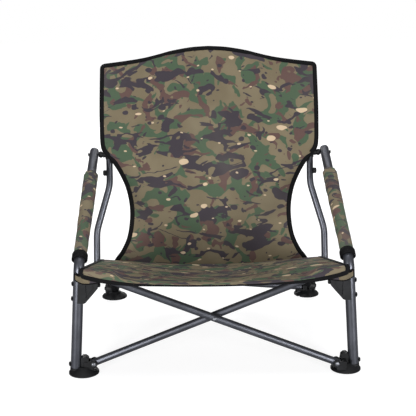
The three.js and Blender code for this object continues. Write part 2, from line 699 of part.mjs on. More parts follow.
const rightSide = [
  ['side_tube', sideTube(), GUNMETAL],
  ['arm_end_cap', armEndCap(), GUNMETAL],
  ['arm_sleeve', armSleeve(), CAMO_CLOTH],
  ['back_sleeve', backSleeve(), CAMO_CLOTH],
  ['seat_corner', seatCorner(), CAMO_CLOTH],
  ['arm_pivot_bolt', armPivotBolt(), BOLT_BLACK],
  ['arm_spacer', armSpacer(), BLACK_PLASTIC],
  ['post_collar', postCollar(), BLACK_PLASTIC],
  ['back_post', backPost(), GUNMETAL],
  ['post_stud', postStud(), BLACK_PLASTIC],
  ['post_foot_plug', postFootPlug(), BLACK_PLASTIC],
  ['gusset', gusset(), BLACK_PLASTIC],
  ['gusset_upper_bolt', gussetBolt(SCREW_Z.gussetHigh), BOLT_BLACK],
  ['gusset_lower_bolt', gussetBolt(SCREW_Z.gussetLow), BOLT_BLACK],
  ['side_rail', sideRail(), GUNMETAL],
  ['rail_front_pin', railFrontPin(), BOLT_BLACK],
  ['rail_post_bolt', railPostBolt(), BOLT_BLACK],
  ['front_foot_screw', frontFootScrew(), BOLT_BLACK],
  ['rear_foot_screw', rearFootScrew(), BOLT_BLACK],
];
for (const [name, geometry, material] of rightSide) {
  piece(`right_${name}`, geometry, material);
  piece(`left_${name}`, mirrored(geometry), material);
}

for (const side of [1, -1]) {
  const label = side > 0 ? 'right' : 'left';
  const place = (geometry) => (side > 0 ? geometry : mirrored(geometry));
  piece(`${label}_front_foot`, place(frontFoot(side)), BLACK_PLASTIC);
  piece(`${label}_rear_foot`, place(rearFoot(side)), BLACK_PLASTIC);
  const frontY = FRONT_BRACE.y - side * FRONT_BRACE.planeOffset;
  const frontRivet = rivet(
    vec(FRONT_BRACE.bossX, frontY - TUBE_R - 4.2 - GAP, FRONT_BRACE.bossZ),
    vec(FRONT_BRACE.bossX, frontY + TUBE_R + 4.2 + GAP, FRONT_BRACE.bossZ),
  );
  piece(`${label}_front_brace_rivet`, place(frontRivet), RIVET_STEEL);
  const rearMiddle = rearBoss().addScaledVector(rearNormal, -side * REAR_BRACE.planeOffset);
  const rearReach = TUBE_R + 4.2 + HEAD_GAP;
  const rearRivet = rivet(
    rearMiddle.clone().addScaledVector(rearNormal, rearReach),
    rearMiddle.clone().addScaledVector(rearNormal, -rearReach),
  );
  piece(`${label}_rear_brace_rivet`, place(rearRivet), RIVET_STEEL);
}

// A brace is named for the foot that it starts from: side +1 starts at the left foot and ends top right.
for (const side of [1, -1]) {
  const label = side > 0 ? 'left' : 'right';
  const front = frontBraceTube(side);
  piece(`front_brace_from_${label}_foot`, front.geometry, GUNMETAL);
  piece(`front_brace_cap_from_${label}_foot`, braceCap(front), BLACK_PLASTIC);
  const rear = rearBraceTube(side);
  piece(`rear_brace_from_${label}_foot`, rear.geometry, GUNMETAL);
  piece(`rear_brace_cap_from_${label}_foot`, braceCap(rear), BLACK_PLASTIC);
}

const pairReach = FRONT_BRACE.planeOffset + TUBE_R + GAP;
const frontCross = vec(0, FRONT_BRACE.y, FRONT_BRACE.crossZ);
piece(
  'front_cross_rivet',
  rivet(frontCross.clone().add(vec(0, -pairReach, 0)), frontCross.clone().add(vec(0, pairReach, 0))),
  RIVET_STEEL,
);
const rearCross = vec(0, REAR_BRACE.bossY, REAR_BRACE.bossZ).addScaledVector(rearUp, REAR_BRACE.bossX * rearSlope);
piece(
  'rear_cross_rivet',
  rivet(
    rearCross.clone().addScaledVector(rearNormal, -pairReach),
    rearCross.clone().addScaledVector(rearNormal, pairReach),
  ),
  RIVET_STEEL,
);

piece('seat_sling', seatSling(), CAMO_CLOTH);
piece('back_sling', backSling(), CAMO_CLOTH);

export default chair;
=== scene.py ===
"""Dresses the frame of a low folding fishing chair: camouflage sling seat and back with black tape
binding, padded arm sleeves, powder-coated tubes, moulded feet and fittings, and a plain pale floor.

Metres, +Z up, +Y to the back of the chair, +X to the right in a front view.
"""

import json
import math

import bpy
from mathutils import Matrix, Vector, noise


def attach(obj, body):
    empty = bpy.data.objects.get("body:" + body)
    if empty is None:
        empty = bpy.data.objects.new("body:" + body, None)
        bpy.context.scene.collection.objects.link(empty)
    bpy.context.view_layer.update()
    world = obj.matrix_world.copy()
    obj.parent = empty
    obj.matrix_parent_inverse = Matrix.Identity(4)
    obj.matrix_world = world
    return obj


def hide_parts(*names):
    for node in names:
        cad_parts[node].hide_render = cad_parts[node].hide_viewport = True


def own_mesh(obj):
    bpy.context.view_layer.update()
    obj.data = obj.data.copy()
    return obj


bl_info = {
    "name": "Folding fishing chair",
    "version": (1, 0, 0),
    "blender": (4, 5, 0),
    "location": "3D View > Sidebar > Chair",
    "description": "Cloth, padding and finishes of a low folding chair",
    "category": "Object",
}

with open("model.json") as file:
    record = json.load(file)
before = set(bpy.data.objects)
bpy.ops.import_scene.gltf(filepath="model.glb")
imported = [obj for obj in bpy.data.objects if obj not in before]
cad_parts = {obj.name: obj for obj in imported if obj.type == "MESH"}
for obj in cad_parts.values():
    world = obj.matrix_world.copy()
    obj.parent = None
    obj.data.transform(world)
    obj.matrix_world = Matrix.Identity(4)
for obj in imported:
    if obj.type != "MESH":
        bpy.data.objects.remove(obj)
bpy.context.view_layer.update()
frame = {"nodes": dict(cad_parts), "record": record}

# Driving sizes, the same as those of the steel frame

MIDDLE_Y = 0.265  # the chair's middle, behind the front feet
LEG_BOTTOM = Vector((0.3288, -MIDDLE_Y, 0.014))
ARM_CORNER = Vector((0.311, -MIDDLE_Y, 0.270))
ARM_REAR = Vector((0.3164, 0.4905 - MIDDLE_Y, 0.4336))
ARM_TUBE_R = 0.0125
ARM_BEND_R = 0.038
SLEEVE_FRONT = 0.0155  # from the arm's front corner, along the tube
SLEEVE_REAR = 0.395
SLEEVE_FRONT_R = 0.0172
SLEEVE_REAR_R = 0.0200
CUFF_WIDTH = 0.016
SLEEVE_END_R = 0.0048
STUD_Z = 0.381
PIN_Y = 0.003
PIN_Z = 0.2160
REAR_TIP = Vector((0.214, 0.362 - MIDDLE_Y, 0.128))
REAR_TIP_SHIFT = Vector((0, 0.00475, 0.0081))
POST_LEAN = 0.333
POST_BEND_HIGH_Z = 0.349
POST_TOP_Z = 0.648
POST_HIGH_X = 0.2735
POST_TOP_X = 0.278
BACK_SLEEVE_R = 0.0112
SEAT_REAR_Z = 0.143
SEAT_CORNER_Z = 0.2575
SEAT_MIDDLE_Z = 0.227
WING_Z = 0.165
WING_Y = 0.362
PANEL_TOP_Z = 0.669
CLOTH = 0.004
BACK_EDGE = (  # (height, half width)
    (0.139, 0.266), (0.156, 0.255), (0.172, 0.243), (0.210, 0.226), (0.260, 0.218), (0.300, 0.219),
    (0.340, 0.228), (0.373, 0.243), (0.400, 0.260), (0.420, 0.277), (0.436, 0.291), (0.452, 0.296),
    (0.500, 0.298), (0.570, 0.298), (0.668, 0.296),
)
BACK_CORNER_R = 0.013
BACK_CROWN = (  # (distance from the middle, rise above the back's corners)
    (0.0, 0.0440), (0.045, 0.0415), (0.076, 0.0375), (0.113, 0.0310), (0.139, 0.0245), (0.187, 0.0140),
    (0.240, 0.0065), (0.298, 0.0),
)
SIDES = (("left", -1), ("right", 1))

# Seat sheet, with depths measured from the front feet

SEAT_ROWS = 14
HEM_ROWS = 3  # the first rows run round the front edge
SEAT_TOP_Y = -0.0155  # where the seat's top face begins
SEAT_FRONT_X = 0.2975
SEAT_WING_X = 0.286
SEAT_REAR_X = 0.257
FRONT_ROWS = (  # (row, depth, share of the way from the hem to the top)
    (0.0, -0.033, 0.0), (0.4, -0.0325, 0.16), (1.0, -0.0290, 0.45), (2.0, -0.023, 0.80),
    (3.0, SEAT_TOP_Y, 1.0),
)

# Cloth, tape, padding and webbing

CLOTH_SLOT = "camouflage_cloth"
TAPE_OVERHANG = 0.0009  # how far the tape reaches past the cloth's edge
SEAT_TAPE_END = 0.93  # share of the seat's side that is taped
LONG_EDGE_STEPS = 672  # steps along one side of a large sheet
PAD_CLEARANCE = 0.0004  # between the arm tube and its padding
PAD_RINGS = 96
PAD_AROUND = 40
PAD_PRESSURE = 4.0
PAD_FRAMES = 20
LOOP_INSET = 0.012  # from the brace's tip to the middle of its loop
LOOP_BOW_R = 0.0106
LOOP_REACH = 0.0125  # from the brace to each end of its loop

# Turned fittings, as (distance along the axis, radius)

STUD_KNOB = ((0.0, 0.0066), (0.0006, 0.0078), (0.0078, 0.0078), (0.0094, 0.0062), (0.0100, 0.0034))
PIN_HEAD = ((0.0, 0.0050), (0.0008, 0.0056), (0.0040, 0.0056), (0.0056, 0.0044), (0.0062, 0.0020))
FOOT_BOSS = (
    (0.0, 0.0140), (0.0130, 0.0140), (0.0160, 0.0126), (0.0172, 0.0100), (0.0172, 0.0052),
    (0.0198, 0.0046),
)
STUD_REACH = 0.0080  # from the post's axis to the knob
PIN_X = 0.2700
BOSS_PLACE = (0.2865, 0.2620, 0.0258)

# Repeats in the weave and the tape

WEAVE_PITCH = 0.0011
RIB_PITCH = 0.0014
STITCH_PITCH = 0.0034
STITCH_ROWS = (0.16, 0.34, 0.66, 0.84)  # shares of the way round the tape's section

# Stage

WHITE = (1.0, 1.0, 1.0, 1.0)
SOFT_LIGHT = 0.12
FLOOR_DROP = 0.0003  # below the feet, so that they don't share a plane
LAMP_AIM = Vector((0, 0, 0.35))
LAMPS = (  # name, place, size and power in watts
    ("key_lamp", (-1.70, -2.75, 0.52), (0.36, 0.95), 71.0),
    ("fill_lamp", (1.80, -2.70, 0.52), (0.36, 0.95), 69.0),
    ("top_lamp", (0.0, 0.35, 3.2), (2.2, 2.2), 76.0),
    ("rear_lamp", (0.0, 3.3, 1.4), (1.6, 1.6), 50.0),
)
CAMERA_PLACE = (-0.045, -2.393, 0.947)
CAMERA_TURN = (-0.86, 14.48, -0.55)  # yaw, pitch and roll in degrees
SENSOR_WIDTH = 36.0  # millimetres


# Numbers and curves


def mix(a, b, t):
    return a + (b - a) * t


def clamp(value, low=0.0, high=1.0):
    return max(low, min(high, value))


def remap(value, a, b, c, d):
    return c + (d - c) * (value - a) / (b - a)


def smooth(value, low, high):
    t = clamp((value - low) / (high - low))
    return t * t * (3 - 2 * t)


def sleeve_radius(t):
    """Radius of the arm padding at share t of its length from the front."""
    return mix(SLEEVE_FRONT_R, SLEEVE_REAR_R, smooth(t, 0.0, 0.9))


def wobble(point, size, seed=0.0):
    """Smooth noise from -1 to 1 with features of the given size."""
    return noise.noise(Vector(point) / size + Vector((seed, seed * 1.7, -seed)))


def arm_at(distance, side):
    """Point on the arm tube's axis, measured from its front corner."""
    run = (ARM_REAR - ARM_CORNER).normalized()
    p = ARM_CORNER + run * distance
    return Vector((side * p.x, p.y, p.z))


def round_bend(point, side):
    """Carries a point near the arm's straight line round the bend in the tube's front."""
    corner = arm_at(0, side)
    along = (arm_at(1, side) - corner).normalized()
    leg = Vector((side * (ARM_CORNER.x - LEG_BOTTOM.x), 0, ARM_CORNER.z - LEG_BOTTOM.z)).normalized()
    turn = along.angle(leg)
    reach = ARM_BEND_R * math.tan(turn / 2)
    run = (point - corner).dot(along) - reach
    if run >= 0:
        return point
    inward = (along * math.cos(turn) - leg).normalized()
    across = along.cross(inward)
    centre = corner + along * reach + inward * ARM_BEND_R
    angle = -run / ARM_BEND_R
    toward = inward * math.cos(angle) + along * math.sin(angle)
    spoke = point - corner
    return centre + across * spoke.dot(across) + toward * (spoke.dot(inward) - ARM_BEND_R)


PIVOT = arm_at((ARM_REAR - ARM_CORNER).length - 0.014, 1)


def post_y(z):
    """Depth of the leaning back posts at a height."""
    return PIVOT.y + (z - PIVOT.z) * POST_LEAN


def post_at(z, side):
    """Point on a back post's axis at a height."""
    x = remap(max(z, POST_BEND_HIGH_Z), POST_BEND_HIGH_Z, POST_TOP_Z, POST_HIGH_X, POST_TOP_X)
    return Vector((side * x, post_y(z), z))


def back_y(z):
    """Depth of the back's cloth at a height. It comes forward of the posts above the seat."""
    return post_y(z) - 0.002 - 0.0147 * smooth(z, 0.150, 0.330)


def seat_rear_z(x):
    return SEAT_REAR_Z + 0.009 * (x / 0.256) ** 2


def seat_rear_y(x):
    return back_y(seat_rear_z(x) - CLOTH) - 0.0006


SEAT_BACK_Y = seat_rear_y(SEAT_REAR_X) + MIDDLE_Y


def seat_share(y):
    """Share of the seat's rows that lies in front of a depth on its top face."""
    return remap(y, SEAT_TOP_Y, SEAT_BACK_Y, HEM_ROWS, SEAT_ROWS) / SEAT_ROWS


def hem_z(x):
    return 0.224 + 0.011 * (x / 0.305) ** 2 + 0.020 * (x / 0.305) ** 4


def table_curve(table, key):
    """Smooth curve through the rows of a table, level at its ends."""
    last = len(table) - 1
    key = clamp(key, table[0][0], table[last][0])
    i = max(k for k in range(last) if table[k][0] <= key)
    (x0, y0), (x1, y1) = table[i], table[i + 1]
    before = table[max(i - 1, 0)]
    after = table[min(i + 2, last)]
    slope_in = (y1 - before[1]) / (x1 - before[0])
    slope_out = (after[1] - y0) / (after[0] - x0)
    h = x1 - x0
    t = (key - x0) / h
    return (
        (2 * t**3 - 3 * t**2 + 1) * y0
        + (t**3 - 2 * t**2 + t) * h * slope_in
        + (3 * t**2 - 2 * t**3) * y1
        + (t**3 - t**2) * h * slope_out
    )


# Mesh making


def new_object(name, data):
    made = bpy.data.objects.new(name, data)
    bpy.context.scene.collection.objects.link(made)
    return made


def new_piece(mesh, body, finish=CLOTH_SLOT):
    """A smooth piece with its mesh's name, which rides on a body, wears a finish and fills a material
    slot. The finish is the cloth's unless another is given."""
    piece = new_object(mesh.name, mesh)
    mesh.polygons.foreach_set("use_smooth", [True] * len(mesh.polygons))
    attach(piece, body)
    return dress(piece, finish)


def new_mesh(name, verts, faces):
    mesh = bpy.data.meshes.new(name)
    mesh.from_pydata(verts, [], faces)
    mesh.update()
    return mesh


def ring_faces(count, around, closed=False):
    """Faces between rings of points, with a cap at each end unless the last ring joins the first."""
    faces = []
    for i in range(count if closed else count - 1):
        here, ahead = i * around, (i + 1) % count * around
        for k in range(around):
            n = (k + 1) % around
            faces.append((here + k, here + n, ahead + n, ahead + k))
    if not closed:
        last = (count - 1) * around
        faces += [range(around)[::-1], range(last, last + around)]
    return faces


def grid_mesh(name, columns, rows, place, cut):
    """A sheet of columns by rows faces. place(u, v) gives a point and cut(u, v) its place on the flat
    cloth, with u from -1 to 1 and v from 0 to 1."""
    step = columns + 1
    verts = [place(i / columns * 2 - 1, j / rows) for j in range(rows + 1) for i in range(step)]
    faces = [
        (j * step + i, j * step + i + 1, (j + 1) * step + i + 1, (j + 1) * step + i)
        for j in range(rows)
        for i in range(columns)
    ]
    mesh = new_mesh(name, verts, faces)
    layer = mesh.uv_layers.new(name="cut")
    for loop in mesh.loops:
        j, i = divmod(loop.vertex_index, step)
        layer.data[loop.index].uv = cut(i / columns * 2 - 1, j / rows)
    return mesh


def tangent_at(route, i):
    return (route[min(i + 1, len(route) - 1)] - route[max(i - 1, 0)]).normalized()


def swept_mesh(name, route, normals, section, widths=None):
    """Sweeps a closed section along a route. Section points are (across, out): across the route and
    along its normal. widths, where given, scales the section across at each point of the route."""
    verts, uvs = [], []
    ring = len(section)
    lengths = [0.0]
    for a, b in zip(route, route[1:]):
        lengths.append(lengths[-1] + (b - a).length)
    for i, (point, normal) in enumerate(zip(route, normals)):
        tangent = tangent_at(route, i)
        across = normal.cross(tangent).normalized()
        out = tangent.cross(across).normalized()
        wide = widths[i] if widths else 1.0
        verts += [point + across * (a * wide) + out * o for a, o in section]
    for here, ahead in zip(lengths, lengths[1:]):
        for k in range(ring):
            v0, v1 = k / ring, (k + 1) / ring
            uvs += [here, v0, here, v1, ahead, v1, ahead, v0]
    for end in (0.0, lengths[-1]):
        for k in range(ring):
            uvs += [end, k / ring]
    mesh = new_mesh(name, verts, ring_faces(len(route), ring))
    mesh.uv_layers.new(name="tape").data.foreach_set("uv", uvs)
    return mesh


def tape_section(half_width, half_thickness, steps=5):
    """A flat strip with rounded edges, as (across, out) points."""
    points = []
    for edge in (1, -1):
        for k in range(steps + 1):
            angle = math.pi * k / steps - math.pi / 2
            across = edge * (half_width - half_thickness + half_thickness * math.cos(angle))
            points.append((across, edge * half_thickness * math.sin(angle)))
    return points


def spoke_at(right, up, angle):
    return right * math.cos(angle) + up * math.sin(angle)


def turned_mesh(name, start, axis, right, up, profile, around=28, closed=False):
    """A turned form on an axis. profile lists (distance along the axis, radius). It runs back to its
    own start where closed is set, and otherwise the form has flat ends."""
    verts = [
        start + axis * along + spoke_at(right, up, 2 * math.pi * k / around) * radius
        for along, radius in profile
        for k in range(around)
    ]
    return new_mesh(name, verts, ring_faces(len(profile), around, closed))


def add_modifier(piece, name, kind, **settings):
    modifier = piece.modifiers.new(name, kind)
    for key, value in settings.items():
        setattr(modifier, key, value)


def resampled(points, spacing):
    """Points at even spacing along a polyline."""
    out = [points[0].copy()]
    left = spacing
    for a, b in zip(points, points[1:]):
        length = (b - a).length
        while length > left:
            a = a + (b - a) * (left / length)
            out.append(a.copy())
            length = (b - a).length
            left = spacing
        left -= length
    if (out[-1] - points[-1]).length < spacing * 0.4:
        out.pop()
    out.append(points[-1].copy())
    return out


# Materials


def colour(red, green, blue):
    """A linear colour from 0 to 255 screen values."""
    def linear(c):
        c /= 255
        return c / 12.92 if c <= 0.04045 else ((c + 0.055) / 1.055) ** 2.4

    return (linear(red), linear(green), linear(blue), 1.0)


class Recipe:
    """The node tree of a material or the world."""

    def __init__(self, owner, output):
        owner.use_nodes = True
        self.owner = owner
        self.tree = owner.node_tree
        self.tree.nodes.clear()
        self.output = self.node(output)

    def node(self, kind, inputs=None, **settings):
        made = self.tree.nodes.new(kind)
        for key, value in settings.items():
            setattr(made, key, value)
        for key, value in (inputs or {}).items():
            self.feed(made, key, value)
        return made

    def feed(self, node, key, value):
        if isinstance(value, bpy.types.NodeSocket):
            self.tree.links.new(value, node.inputs[key])
        else:
            node.inputs[key].default_value = value

    def maths(self, operation, a, b=0.0, c=0.0):
        return self.node("ShaderNodeMath", {0: a, 1: b, 2: c}, operation=operation).outputs[0]

    def times(self, a, b):
        return self.maths("MULTIPLY", a, b)

    def minus(self, a, b):
        return self.maths("SUBTRACT", a, b)

    def line(self, value, gain, base):
        return self.maths("MULTIPLY_ADD", value, gain, base)

    def vector(self, operation, a, b):
        """b is a vector, or a number where the operation is SCALE."""
        key = "Scale" if operation == "SCALE" else 1
        return self.node("ShaderNodeVectorMath", {0: a, key: b}, operation=operation).outputs[0]

    def parts(self, vector):
        return self.node("ShaderNodeSeparateXYZ", {0: vector}).outputs[:3]

    def rise(self, value, low, high):
        """0 below low, 1 above high, smooth between."""
        inputs = {"Value": value, "From Min": low, "From Max": high}
        return self.node("ShaderNodeMapRange", inputs, interpolation_type="SMOOTHSTEP").outputs["Result"]

    def wave(self, value, pitch):
        return self.maths("SINE", self.times(value, 2 * math.pi / pitch))

    def blend(self, factor, a, b):
        return self.node("ShaderNodeMix", {"Factor": factor, 6: a, 7: b}, data_type="RGBA").outputs[2]

    def moved(self, vector, offset=(0, 0, 0), scale=(1, 1, 1), turn=0.0):
        inputs = {"Vector": vector, "Location": offset, "Rotation": (0, 0, turn), "Scale": scale}
        return self.node("ShaderNodeMapping", inputs).outputs[0]

    def noise(self, vector, scale, detail=2.0, roughness=0.5, distortion=0.0, output="Fac"):
        inputs = {
            "Vector": vector, "Scale": scale, "Detail": detail, "Roughness": roughness,
            "Distortion": distortion,
        }
        return self.node("ShaderNodeTexNoise", inputs).outputs[output]

    def cells(self, vector, scale):
        """Distance to the nearest seed of a flat cell pattern, and the cell's own three random numbers."""
        inputs = {"Vector": vector, "Scale": scale}
        made = self.node("ShaderNodeTexVoronoi", inputs, feature="F1", voronoi_dimensions="2D")
        return made.outputs["Distance"], self.parts(made.outputs["Color"])

    def spots(self, vector, scale, radius, edge, chance):
        """Round spots in some cells of a pattern. radius is (least, spread, power) and edge is where a
        spot starts and stops to fade, from its rim."""
        near, (pick, size, _) = self.cells(vector, scale)
        least, spread, power = radius
        rim = self.line(self.maths("POWER", size, power), spread, least)
        spot = self.minus(1.0, self.rise(self.minus(near, rim), *edge))
        return self.times(spot, self.maths("GREATER_THAN", pick, chance))

    def bump(self, height, distance, strength=1.0, normal=None):
        inputs = {"Height": height, "Distance": distance, "Strength": strength}
        if normal is not None:
            inputs["Normal"] = normal
        return self.node("ShaderNodeBump", inputs).outputs[0]

    def place(self):
        return self.node("ShaderNodeTexCoord").outputs["Object"]

    def cut(self, layer):
        return self.node("ShaderNodeUVMap", uv_map=layer).outputs[0]


class Finish(Recipe):
    """A material with one surface shader."""

    def __init__(self, name):
        super().__init__(bpy.data.materials.new(name), "ShaderNodeOutputMaterial")
        self.surface = self.node("ShaderNodeBsdfPrincipled")
        self.feed(self.output, "Surface", self.surface.outputs[0])

    def set(self, **inputs):
        for key, value in inputs.items():
            self.feed(self.surface, key.replace("_", " "), value)


def camouflage(settings):
    """Woven polyester with a general woodland print: khaki, then green, brown, dark and pale marks."""
    r = Finish("camouflage_cloth")
    flat = r.cut("cut")
    wide = r.moved(flat, scale=(0.82, 1.0, 1.0))
    sway = r.vector("SUBTRACT", r.noise(wide, 26.0, output="Color"), (0.5, 0.5, 0.5))
    print_at = r.vector("ADD", wide, r.vector("SCALE", sway, 0.018))

    shade = r.noise(flat, 9.0, 3.0)
    tone = r.blend(r.rise(shade, 0.35, 0.65), settings.ground, colour(122, 112, 91))
    blots = (  # colour, offset, stretch, scale, detail, roughness, distortion and lowest level
        (settings.green, (3.1, 7.7, 0.4), (1, 1, 1), 21.0, 1.8, 0.45, 0.8, 0.520),
        (settings.brown, (17.3, 2.9, 3.3), (1, 1, 1), 23.0, 1.8, 0.5, 0.9, 0.570),
        (settings.dark, (41.9, 12.3, 6.1), (0.85, 1.15, 1.0), 20.0, 1.9, 0.5, 1.1, 0.572),
    )
    for tint, offset, stretch, scale, detail, roughness, distortion, level in blots:
        blot = r.noise(r.moved(print_at, offset, stretch), scale, detail, roughness, distortion)
        tone = r.blend(r.rise(blot, level, level + 0.012), tone, tint)

    # Winding dark strips, which thin out and stop along their way
    strip = r.noise(r.moved(print_at, (60.2, 31.8, 1.7), (0.75, 1.4, 1.0)), 11.0, 0.8, 0.5, 1.3)
    ridge = r.maths("ABSOLUTE", r.minus(strip, 0.5))
    where = r.rise(r.noise(r.moved(print_at, (9.4, 50.7, 2.2)), 17.0, 1.0), 0.53, 0.60)
    aside = r.minus(ridge, r.times(where, 0.030))
    winding = r.minus(1.0, r.rise(aside, -0.004, 0.003))
    winding = r.times(winding, r.maths("GREATER_THAN", where, 0.12))
    tone = r.blend(winding, tone, settings.dark)

    # Dark spots, then pale drops
    at = r.moved(print_at, (5.5, 8.8, 0.0))
    tone = r.blend(r.spots(at, 38.0, (0.07, 0.22, 1.5), (-0.02, 0.02), 0.72), tone, settings.dark)
    at = r.moved(print_at, (1.2, 3.4, 0.0), (0.74, 1.12, 1.0), 0.5)
    drops = r.spots(at, 30.0, (0.060, 0.215, 3.0), (-0.018, 0.014), 0.70)
    tone = r.blend(drops, tone, settings.pale)

    patches = r.rise(r.noise(flat, 3.5, 4.0), 0.45, 0.75)
    faded = r.blend(r.times(patches, 0.14), tone, colour(150, 145, 132))
    u, v, _ = r.parts(flat)
    weave = r.times(r.wave(u, WEAVE_PITCH), r.wave(v, WEAVE_PITCH))
    soft = r.bump(r.noise(flat, 60.0, 3.0), 0.0008, 0.35)
    r.set(
        Base_Color=r.vector("SCALE", faded, r.line(weave, 0.045, 1.0)),
        Roughness=r.line(shade, 0.12, 0.80),
        Normal=r.bump(weave, 0.00018, 0.8, soft),
        Sheen_Weight=0.03,
        Sheen_Roughness=0.5,
        Specular_IOR_Level=0.12,
    )
    return r.owner


def tape_cloth(settings):
    """Black ribbed binding tape with a row of stitches near each edge."""
    r = Finish("binding_tape")
    u, v, _ = r.parts(r.cut("tape"))
    ribs = r.wave(u, RIB_PITCH)
    fuzz = r.noise(r.place(), 900.0, 2.0)
    thread = r.maths("GREATER_THAN", r.maths("FRACT", r.maths("DIVIDE", u, STITCH_PITCH)), 0.3)
    rows = 0.0
    for row in STITCH_ROWS:
        near = r.maths("LESS_THAN", r.maths("ABSOLUTE", r.minus(v, row)), 0.012)
        rows = r.maths("MAXIMUM", rows, near)
    stitch = r.times(rows, thread)
    base = r.blend(fuzz, settings.tape, colour(19, 19, 21))
    height = r.maths("ADD", r.times(ribs, 0.5), r.times(stitch, 3.0))
    r.set(
        Base_Color=r.blend(stitch, base, colour(34, 34, 36)),
        Roughness=r.line(fuzz, 0.2, 0.70),
        Normal=r.bump(height, 0.00016, 0.8),
        Specular_IOR_Level=0.10,
    )
    return r.owner


def powder_coat(settings):
    """Dark grey powder coat: fine orange peel, faint mottling and a few rubbed marks."""
    r = Finish("gunmetal_powder_coat")
    at = r.place()
    peel = r.noise(at, 900.0, 2.0)
    mottle = r.noise(at, 24.0, 4.0)
    base = r.blend(r.rise(mottle, 0.35, 0.7), settings.steel, colour(97, 99, 107))
    streak = r.noise(r.moved(at, scale=(60.0, 60.0, 6.0)), 6.0, 3.0)
    rub = r.times(r.rise(streak, 0.66, 0.74), 0.35)
    r.set(
        Base_Color=r.blend(rub, base, colour(118, 120, 126)),
        Metallic=0.82,
        Roughness=r.line(mottle, 0.10, 0.34),
        Normal=r.bump(peel, 0.00003, 0.25),
        Specular_IOR_Level=0.50,
    )
    return r.owner


def moulding(settings):
    """Black moulded plastic with a fine spark-eroded grain and dusty hollows."""
    r = Finish("black_moulding")
    at = r.place()
    grain = r.noise(at, 1400.0, 3.0, 0.6)
    dust = r.noise(at, 30.0, 5.0)
    base = r.blend(r.rise(dust, 0.45, 0.8), settings.plastic, colour(28, 29, 32))
    r.set(
        Base_Color=base,
        Roughness=r.line(dust, 0.25, 0.40),
        Normal=r.bump(grain, 0.00012, 0.55),
        Specular_IOR_Level=0.32,
    )
    return r.owner


def black_screw(settings):
    """Black-oxide screw heads with bright rubbed specks."""
    r = Finish("black_oxide_steel")
    at = r.place()
    specks = r.noise(at, 420.0, 4.0, 0.6)
    worn = r.rise(specks, 0.62, 0.72)
    r.set(
        Base_Color=r.blend(worn, settings.screw, colour(110, 110, 114)),
        Metallic=0.7,
        Roughness=r.line(specks, 0.25, 0.22),
        Normal=r.bump(specks, 0.00008, 0.4),
    )
    return r.owner


def rivet_metal(settings):
    """Zinc-plated rivet heads, slightly spangled."""
    r = Finish("plated_rivet")
    at = r.place()
    _, (spangle, _, _) = r.cells(at, 700.0)
    r.set(
        Base_Color=r.blend(spangle, settings.rivet, colour(140, 142, 148)),
        Metallic=0.95,
        Roughness=r.line(spangle, 0.16, 0.38),
        Normal=r.bump(r.noise(at, 500.0, 2.0), 0.00005, 0.5),
    )
    return r.owner


def pale_floor(settings):
    """Pale floor that keeps the chair's shadow. It glows white to the camera, and faintly in reflections."""
    r = Finish("studio_floor")
    grain = r.noise(r.place(), 3.0, 3.0)
    r.set(
        Base_Color=r.blend(grain, settings.floor, colour(156, 156, 158)),
        Roughness=0.9,
        Specular_IOR_Level=0.1,
    )
    seen = r.node("ShaderNodeLightPath").outputs
    lift = r.maths("MAXIMUM", seen["Is Camera Ray"], seen["Is Transmission Ray"])
    lift = r.maths("MAXIMUM", lift, r.times(seen["Is Glossy Ray"], 0.05))
    x, y, _ = r.parts(r.place())
    out = r.maths("SQRT", r.maths("ADD", r.times(x, x), r.times(y, y)))
    level = r.line(r.rise(out, 0.5, 2.2), 0.15, 0.85)
    glow = r.node("ShaderNodeEmission", {"Color": WHITE, "Strength": r.times(lift, level)})
    both = r.node("ShaderNodeAddShader", {0: r.surface.outputs[0], 1: glow.outputs[0]})
    r.feed(r.output, "Surface", both.outputs[0])
    return r.owner


FINISHES = {
    "camouflage_cloth": camouflage,
    "binding_tape": tape_cloth,
    "gunmetal_paint": powder_coat,
    "black_plastic": moulding,
    "black_steel": black_screw,
    "rivet_steel": rivet_metal,
    "floor": pale_floor,
}
made_finishes = {}


def finish_of(name):
    """The material of a finish, made once from the scene's colours."""
    if name not in made_finishes:
        made_finishes[name] = FINISHES[name](bpy.context.scene.chair_colours)
    return made_finishes[name]


def dress(piece, name):
    piece.data.materials.append(finish_of(name))
    return piece


# Cloth shapes


def back_outline(v):
    """Half width and height of the back's edge at share v of the way up."""
    rise = mix(SEAT_REAR_Z - CLOTH, PANEL_TOP_Z, v)
    into = clamp(rise - (PANEL_TOP_Z - BACK_CORNER_R), 0.0, BACK_CORNER_R)
    rounded = BACK_CORNER_R - math.sqrt(BACK_CORNER_R**2 - into**2)
    return table_curve(BACK_EDGE, rise) - rounded, rise


def back_point(u, v):
    half, rise = back_outline(v)
    x = u * half
    foot = (seat_rear_z(x) - SEAT_REAR_Z) * (1 - v)
    crown = table_curve(BACK_CROWN, abs(u) * BACK_CROWN[-1][0]) * v**3
    z = rise + crown + foot
    sag = 0.015 * (1 - u * u) ** 1.5 * math.sin(math.pi * v) ** 0.8
    inner = (1 - u * u) * smooth(v, 0.02, 0.2) * smooth(1 - v, 0.02, 0.2)
    crease = -0.0035 * wobble((x, 0, z), 0.11, 3.0) - 0.0012 * wobble((x, 0, z * 1.6), 0.035, 8.0)
    # A soft fold runs down and in from each arm pivot
    drop = (0.443 - z) - 0.42 * (0.292 - abs(x))
    fold = 0.0026 * math.exp(-((drop / 0.007) ** 2))
    fold *= smooth(abs(x), 0.15, 0.28) * smooth(0.30 - abs(x), 0.0, 0.02)
    return Vector((x, back_y(z) + sag + crease * inner - fold, z))


def back_cut(u, v):
    half, rise = back_outline(v)
    return (u * half, rise * 1.054)


